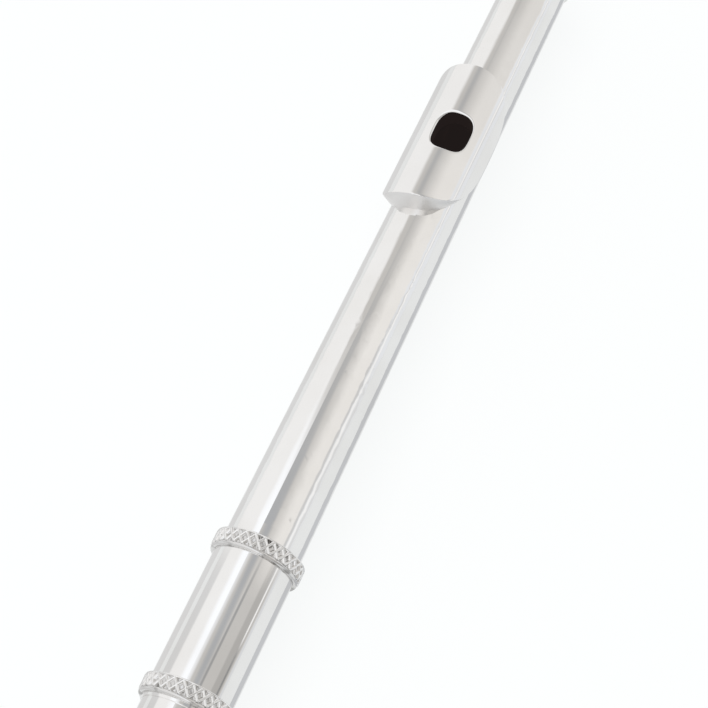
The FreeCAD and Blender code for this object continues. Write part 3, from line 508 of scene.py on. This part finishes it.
# ---------- shapes worked out as whole arrays ----------
def grid_piece(name, points, ring_rows=True, sharp=None):
    """A smooth mesh on a grid of points (rows, columns, 3), or on several. Columns close on themselves,
    and so do rows where ring_rows is set; otherwise the first and last rows have shrunk to a point each
    and are merged. Faces are turned outwards: the volume that they enclose is summed with its sign."""
    grids, rows, columns = points.reshape(-1, *points.shape[-3:]).shape[:3]
    index = np.arange(grids * rows * columns).reshape(grids, rows, columns)
    if not ring_rows:
        index[:, 0], index[:, -1] = index[:, 0, :1], index[:, -1, :1]
    after = np.roll(index, -1, 1) if ring_rows else index[:, 1:]
    before = index if ring_rows else index[:, :-1]
    quads = np.stack([before, np.roll(before, -1, 2), np.roll(after, -1, 2), after], -1).reshape(-1, 4)
    flat = points.reshape(-1, 3)
    a, b, c, d = (flat[quads[:, corner]] for corner in range(4))
    if np.sum(a * np.cross(b, c)) + np.sum(a * np.cross(c, d)) < 0:
        quads = quads[:, ::-1]
    used, compact = np.unique(quads, return_inverse=True)
    faces = [tuple(dict.fromkeys(face)) for face in compact.reshape(-1, 4).tolist()]
    mesh = bpy.data.meshes.new(name)
    mesh.from_pydata(flat[used].tolist(), [], faces)
    mesh.shade_smooth()
    if sharp is not None:
        mesh.set_sharp_from_angle(angle=math.radians(sharp))
    piece = bpy.data.objects.new(name, mesh)
    bpy.context.scene.collection.objects.link(piece)
    return piece, used


def add_values(piece, name, values):
    """Store one number a vertex, which a finish can read."""
    attribute = piece.data.attributes.new(name, "FLOAT", "POINT")
    attribute.data.foreach_set("value", np.ascontiguousarray(values, np.float32).ravel())


def stand_for(piece, finish, slot, *cad_nodes):
    """Give a new piece its finish and put it in the place of CAD nodes, on their body."""
    piece.data.materials.append(finish)
    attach(piece, NODES[cad_nodes[0]]["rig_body"])
    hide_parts(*cad_nodes)
    return piece


def full_turn(steps):
    """Evenly spaced angles once round, without the last, which would be the first again."""
    return np.linspace(0, 2 * np.pi, steps, endpoint=False)


def round_the_bore(x, radius, angle):
    """Points at stations x, at a distance from the bore's axis and at an angle from +Z towards +Y."""
    return np.stack([x + 0 * angle, radius * np.sin(angle), radius * np.cos(angle)], -1)


# ---------- lip plate ----------
PLATE_WALL = 0.85 * MM
BLOW_HALF_LENGTH = 6.0 * MM
BLOW_HALF_WIDTH = 5.2 * MM
BLOW_POWER = 3.0
# The plate's outline round the bore: an oval about its middle angle, which leans to the player's side.
PLATE_MIDDLE = math.radians(20.5)
PLATE_HALF_ANGLE = math.radians(85.5)
PLATE_POWER = 2.4
# The plate's section: (degrees round the bore, height against the top in mm).
PLATE_SECTION = [(-105, -4.0), (-78, -2.9), (-42, -1.0), (0, 0.0), (40, -0.25), (76, -1.7), (106, -3.5)]
PLATE_TOP_GAP = 0.03 * MM
SECTION_CURVE = np.polyfit(np.radians([a for a, _ in PLATE_SECTION]), [h * MM for _, h in PLATE_SECTION], 4)
# The tube's radius under the plate, in mm under the barrel's: the inset at the body's end of the plate,
# and the taper more at the crown's end.
TUBE_INSET = 1.15
TUBE_TAPER = 0.23
# Where the plate turns down to its skirt, as a share of the way from the blowing hole to the outline.
CREASE = 0.93


def plate_radius(angle):
    """The plate's outer distance from the axis: the quartic in the angle that fits its section best."""
    return PLATE_TOP_R - PLATE_TOP_GAP + np.polyval(SECTION_CURVE, angle)


def plate_rows():
    """The rows of the plate's sheet, over the top from the blowing hole to the tube and back underneath.
    A row is (share of the way out to the outline, depth under the outer surface, share of the way down to
    the tube)."""
    lip = [(0.0, PLATE_WALL, 0), (0.0, 0.55 * MM, 0), (0.002, 0.3 * MM, 0), (0.009, 0.12 * MM, 0),
           (0.02, 0.03 * MM, 0)]
    near_hole, beyond = np.linspace(0.035, 0.15, 6), np.linspace(0.19, CREASE - 0.01, 30)
    top = [(share, 0.0, 0) for share in np.concatenate([near_hole, beyond])]
    edge = [(CREASE, 0.02 * MM, 0.0), (CREASE + 0.005, 0.1 * MM, 0.03)]
    skirt = [(CREASE + 0.005 + (0.995 - CREASE) * s, 0.1 * MM, 0.03 + 0.97 * s ** 1.25)
             for s in np.linspace(0.15, 1, 7)]
    inside = [(0.985, PLATE_WALL, 0.97), (0.96, PLATE_WALL, 0.6), (0.93, PLATE_WALL, 0.2),
              (0.9, PLATE_WALL, 0.0)]
    under = [(share, PLATE_WALL, 0) for share in np.linspace(0.8, 0.06, 10)]
    return np.array(lip + top + edge + skirt + inside + under)


def superellipse(turn, half_x, half_y, power):
    """Where |x / half_x| ** power + |y / half_y| ** power = 1, followed by a turn from 0 to 2 pi."""
    across, up = np.cos(turn), np.sin(turn)
    return (half_x * np.sign(across) * np.abs(across) ** (2 / power),
            half_y * np.sign(up) * np.abs(up) ** (2 / power))


def make_lip_plate(finish):
    """A bent oval sheet. Each row lies a share of the way from the blowing hole's outline to the plate's
    oval one, both drawn over (station, angle), at its depth under the section; the edge is turned down on
    to the tube."""
    turn = full_turn(288)
    hole_x, hole_y = superellipse(turn, BLOW_HALF_LENGTH, BLOW_HALF_WIDTH, BLOW_POWER)
    hole_angle = hole_y / PLATE_TOP_R
    half_length = (PLATE_X1 - PLATE_X0) / 2 - TWO_HAIRS
    rim_x, rim_angle = superellipse(turn, half_length, PLATE_HALF_ANGLE, PLATE_POWER)
    rim_angle = rim_angle + PLATE_MIDDLE
    share, depth, down = (column[:, None] for column in plate_rows().T)
    angle = hole_angle * (1 - share) + rim_angle * share
    x = BLOW_X + hole_x * (1 - share) + rim_x * share
    tube = BARREL_R - (TUBE_INSET + TUBE_TAPER * (x - PLATE_X0) / (PLATE_X1 - PLATE_X0)) * MM
    radius = (plate_radius(angle) - depth) * (1 - down) + tube * down
    plate, used = grid_piece("lip_plate_sheet", round_the_bore(x, radius, angle), sharp=40)
    on_skirt = (share > CREASE + 0.004) & (down > 0)
    add_values(plate, "satin", (on_skirt + 0 * radius).ravel()[used])
    return stand_for(plate, finish, "silver_plate", "lip_plate")


# ---------- barrel rings ----------
RING_CELLS = 30
COLUMNS_PER_CELL = 18
# The ring starts this far in from its solid's end on the body's side.
RING_SHOULDER = 0.8 * MM
BEAD_WIDTH = 1.1 * MM
RIM_WIDTH = 0.4 * MM
RIM_BEVEL = 0.12 * MM
BAND_DEPTH = 0.75 * MM
# The bead's foot lies this far under the band's floor, and its crest twice as far under the ring's top.
BEAD_UNDER = 0.15 * MM
# The trellis stays this far under the ring's top.
RIDGE_UNDER = 0.06 * MM
# A ridge's half width in cells, and the power, under 1, that makes its crest broader.
RIDGE_HALF_WIDTH = 0.27
RIDGE_POWER = 0.8
# How dark the bead's painted shade is.
BEAD_SHADE = 0.8


def make_ring(name, node, finish):
    """A turned ring: from the body's side a bead, which is half an ellipse, a band and a bevelled rim.
    The band is a raised trellis: ridges follow the two families of lines where the angle in cells, plus
    or minus the share of the band's width, is a whole number."""
    x0, x1 = ends(node)
    x0 += RING_SHOULDER
    top = outer_radius(node)
    base = BARREL_R - TWO_HAIRS
    angle = full_turn(RING_CELLS * COLUMNS_PER_CELL)
    band0, band1 = x0 + BEAD_WIDTH, x1 - RIM_WIDTH
    bow = np.linspace(0, math.pi, 11)
    bead_x = x0 + BEAD_WIDTH / 2 * (1 - np.cos(bow)) + TWO_HAIRS
    bead_r = top - BAND_DEPTH - BEAD_UNDER + (BAND_DEPTH - BEAD_UNDER) * np.sin(bow)
    span = np.linspace(0, 1, 29)
    rim_x = np.array([band1 + TWO_HAIRS, band1 + RIM_BEVEL, x1 - RIM_BEVEL, x1 - HAIR])
    rim_r = top - np.array([0.3, 0.12, 0.12, 0.3]) * MM
    x = np.concatenate([[x0 + HAIR], bead_x, band0 + (band1 - band0) * span, rim_x, [x1 - HAIR]])
    plain_r = np.concatenate([[base], bead_r, np.full(span.size, top - BAND_DEPTH), rim_r, [base]])
    first = 1 + bead_x.size
    band = slice(first, first + span.size)
    cells = angle[None, :] / (2 * np.pi) * RING_CELLS
    ridge = np.zeros((x.size, angle.size))
    for lean in (1.0, -1.0):
        off = np.abs((cells + lean * span[:, None] + 0.5) % 1.0 - 0.5)
        ridge[band] = np.maximum(ridge[band], np.clip(1 - off / RIDGE_HALF_WIDTH, 0, 1))
    height = np.sin(ridge * np.pi / 2) ** RIDGE_POWER
    radius = plain_r[:, None] + height * (BAND_DEPTH - RIDGE_UNDER)
    ring, used = grid_piece(name, round_the_bore(x[:, None], radius, angle[None, :]))
    # Painted shade: the bead is painted shaded, the trellis's hollows painted darker the lower they lie,
    # and the end face on the crown's side painted dark; the rim between them is left bright.
    hollow = np.zeros_like(radius)
    hollow[:first] = BEAD_SHADE
    hollow[band] = 1 - height[band]
    hollow[-2:] = 1.0
    add_values(ring, "hollow", hollow.ravel()[used])
    return stand_for(ring, finish, "silver_plate", node)


# ---------- crown ----------
CROWN_SPIGOT_R = BARREL_R - 2.0 * MM
CROWN_SOCKET_R = 2.25 * MM
# How far past the tube's end the screw's socket ends and the dome begins.
CROWN_SOCKET = 7 * MM
CROWN_DOME_START = 3.6 * MM
# How far under the lip's radius the dome stays.
DOME_UNDER = 0.1 * MM
# In mm: the lip's half length and rise, and the groove's middle past the tube's end, half length and
# depth.
LIP_HALF, LIP_RISE = 1.1, 0.45
GROOVE_MIDDLE, GROOVE_HALF, GROOVE_DEPTH = 2.9, 0.6, 0.35


def make_crown(finish):
    """A turned cap on its spigot: a profile of (distance past the tube's end, radius) spun round the
    bore. The lip and the groove after it are half ellipses, and the end is domed as a quarter of an
    ellipse."""
    low_x, high_x = ends("crown")
    foot_x, tip = low_x + HAIR, high_x - HAIR
    top = outer_radius("crown") - HAIR
    socket_x = HEAD_END_X + CROWN_SOCKET
    dome_x0 = HEAD_END_X + CROWN_DOME_START
    bow = np.linspace(0, math.pi, 13)
    quarter = np.linspace(0, math.pi / 2, 25)
    lip_x = HEAD_END_X + (LIP_HALF - LIP_HALF * np.cos(bow)) * MM
    lip_r = top - LIP_RISE * MM + LIP_RISE * MM * np.sin(bow)
    groove_x = HEAD_END_X + (GROOVE_MIDDLE - GROOVE_HALF * np.cos(bow)) * MM
    groove_r = top - (LIP_RISE + GROOVE_DEPTH * np.sin(bow)) * MM
    dome_x = dome_x0 + (tip - dome_x0) * np.sin(quarter)
    dome_r = (top - DOME_UNDER) * np.cos(quarter)
    # The screw's socket and the spigot that stands in the tube.
    inner_x = [socket_x, socket_x, foot_x, foot_x, HEAD_END_X]
    inner_r = [0, CROWN_SOCKET_R, CROWN_SOCKET_R, CROWN_SPIGOT_R, CROWN_SPIGOT_R]
    x = np.concatenate([inner_x, lip_x, groove_x, dome_x])
    radius = np.concatenate([inner_r, lip_r, groove_r, dome_r])
    points = round_the_bore(x[:, None], radius[:, None], full_turn(128)[None, :])
    crown, _ = grid_piece("crown_cap", points, False, 35)
    return stand_for(crown, finish, "silver_plate", "crown")


# ---------- pads ----------
def disc_directions(corners):
    """A flat disc's middle, its two directions across and its axis, which points away from the bore, as
    rows, and half of its size along each."""
    rows = np.linalg.svd(corners - corners.mean(0), full_matrices=False)[2]
    along = corners @ rows.T
    middle = (along.min(0) + along.max(0)) / 2 @ rows
    if rows[2, 1:] @ middle[1:] < 0:
        rows[2] = -rows[2]
    return middle, rows, np.ptp(along, axis=0) / 2


PAD_EDGE = 0.35 * MM
PAD_EDGE_POWER = 0.6
PAD_CROWNING = 0.14 * MM
# The mark that the tone hole's rim has pressed in: its depth, its distance in from the edge and its
# width.
PRESS_DEPTH = 0.13 * MM
PRESS_INSET = 0.85 * MM
PRESS_WIDTH = 0.28 * MM
FOLD_DEPTH = 0.03 * MM
# The rounded edge starts no nearer to the tone hole than this.
LOWEST_EDGE = 0.16 * MM
# A node longer than this many widths holds two pads.
PAIR_RATIO = 1.5


def pad_grid(corners):
    """A felt disc in skin: its face is crowned as a parabola towards the tone hole, with a ring pressed
    in by the rim, as a bell curve of the radius, and small folds of skin, as two crossed sines that grow
    with the radius to the sixth power; the edge is rounded as part of a superellipse."""
    middle, rows, half = disc_directions(corners)
    reach, rise = half[:2].min() - TWO_HAIRS, 2 * half[2] - 0.03 * MM
    flat_reach = reach - PAD_EDGE
    angle = full_turn(144)[None, :]
    face = np.linspace(0, flat_reach, 34)
    bend = np.linspace(-math.pi / 2, math.pi / 2, 15)[1:-1]
    edge = flat_reach + PAD_EDGE * np.cos(bend)
    side = rise * (0.5 + 0.5 * np.sign(np.sin(bend)) * np.abs(np.sin(bend)) ** PAD_EDGE_POWER)
    back = np.linspace(flat_reach, 0, 8)
    r = np.concatenate([face, edge, back])[:, None]
    crowning = TWO_HAIRS + PAD_CROWNING * (face / reach) ** 2
    z = np.concatenate([crowning, side, np.full(back.size, rise)])[:, None]
    on_face = np.concatenate([np.ones(face.size), np.zeros(edge.size + back.size)])[:, None]
    pressed = PRESS_DEPTH * np.exp(-((r - reach + PRESS_INSET) / PRESS_WIDTH) ** 2)
    folds = FOLD_DEPTH * (1 + np.sin(17 * angle) * np.sin(11 * angle + 1)) * (r / reach) ** 6
    z = np.maximum(z, LOWEST_EDGE * (r > face[-1])) + on_face * (pressed + folds)
    flat = np.stack([r * np.cos(angle), r * np.sin(angle), z + 0 * angle - half[2]], -1)
    return middle + flat @ rows


def make_pad(node, finish):
    """A pad stands for its soft solid. A long node holds a pair of pads, which lie one after the other
    along the flute."""
    mesh = NODES[node].data
    corners = np.empty(len(mesh.vertices) * 3)
    mesh.vertices.foreach_get("co", corners)
    corners = corners.reshape(-1, 3)
    low, high = corners.min(0), corners.max(0)
    pair = high[0] - low[0] > PAIR_RATIO * max(high[1] - low[1], high[2] - low[2])
    upper = corners[:, 0] > (low[0] + high[0]) / 2
    discs = [corners[~upper], corners[upper]] if pair else [corners]
    pad, _ = grid_piece(node + "_felt", np.stack([pad_grid(disc) for disc in discs]), False, 60)
    stand_for(pad, finish, "pad_skin", node)


make_camera()
make_studio()
make_floor()
make_edge_cards()
make_lamp()
dress_nodes()
make_lip_plate(PLATE_SILVER)
make_crown(KEY_SILVER)
for soft in [name for name in NODES if name.endswith("_pad")]:
    make_pad(soft, PAD_SKIN)
for ring in ("barrel_ring_lower", "barrel_ring_upper"):
    make_ring(ring + "_trellis", ring, RING_SILVER)
bpy.context.scene.view_settings.view_transform = "Standard"
